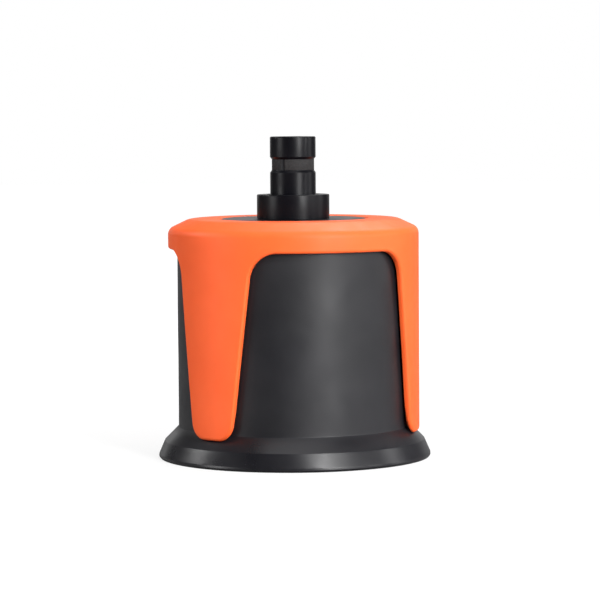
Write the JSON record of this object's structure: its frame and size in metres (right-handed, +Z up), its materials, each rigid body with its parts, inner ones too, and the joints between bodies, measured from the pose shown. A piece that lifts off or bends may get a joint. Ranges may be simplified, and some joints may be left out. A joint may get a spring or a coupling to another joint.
{
  "type": "vacuum suction cup",
  "caption": "Deep-bell vacuum suction cup in black rubber with a clip-over three-legged orange guard and a sprung, swivelling plug-in stem on top.",
  "frame": {"origin": "centre of the circle where the lip meets the workpiece", "axes": "+Z up the stem, away from the workpiece; -Y is the side that the picture shows"},
  "size_m": [0.1088, 0.1088, 0.1278],
  "materials": {
    "guard_orange": "orange moulded plastic, semi-gloss",
    "bell_rubber": "black rubber, faintly bloomed",
    "plate_aluminium": "turned aluminium, plain",
    "stem_black": "aluminium, black anodised, satin",
    "filter_grey": "sintered porous plastic, grey",
    "bright_steel": "zinc-plated or stainless steel",
    "bush_bronze": "sintered bronze",
    "seal_rubber": "black nitrile rubber",
    "liner_plastic": "dark grey moulded plastic, matte"
  },
  "bodies": {
    "cup": {"bell": "bell_rubber", "guard": "guard_orange", "hub": "stem_black", "collar": "stem_black", "collar_seal": "seal_rubber", "guide_bush": "bush_bronze", "wiper": "seal_rubber", "stop_washer": "bright_steel", "buffer_spring": "bright_steel", "spring_retainer": "bright_steel", "snap_ring": "bright_steel", "clamp_plate": "plate_aluminium", "clamp_screws": "bright_steel", "support_liner": "liner_plastic", "cup_grid": "liner_plastic", "liner_screws": "bright_steel"},
    "spring_seat": {"spring_seat": "bright_steel"},
    "stem": {"stem": "stem_black", "filter_pads": "filter_grey", "head_plug": "stem_black", "stem_seal": "seal_rubber"}
  },
  "joints": [
    {"name": "stem_buffer", "type": "slide", "parent": "cup", "child": "spring_seat", "axis": [0, 0, -1], "range_m": [0, 0.005], "stiffness_N_per_m": 2000, "springref_m": -0.005, "deforming": ["buffer_spring"]},
    {"name": "stem_swivel", "type": "hinge", "parent": "spring_seat", "child": "stem", "pos_m": [0, 0, 0.09], "axis": [0, 0, 1], "continuous": true}
  ]
}
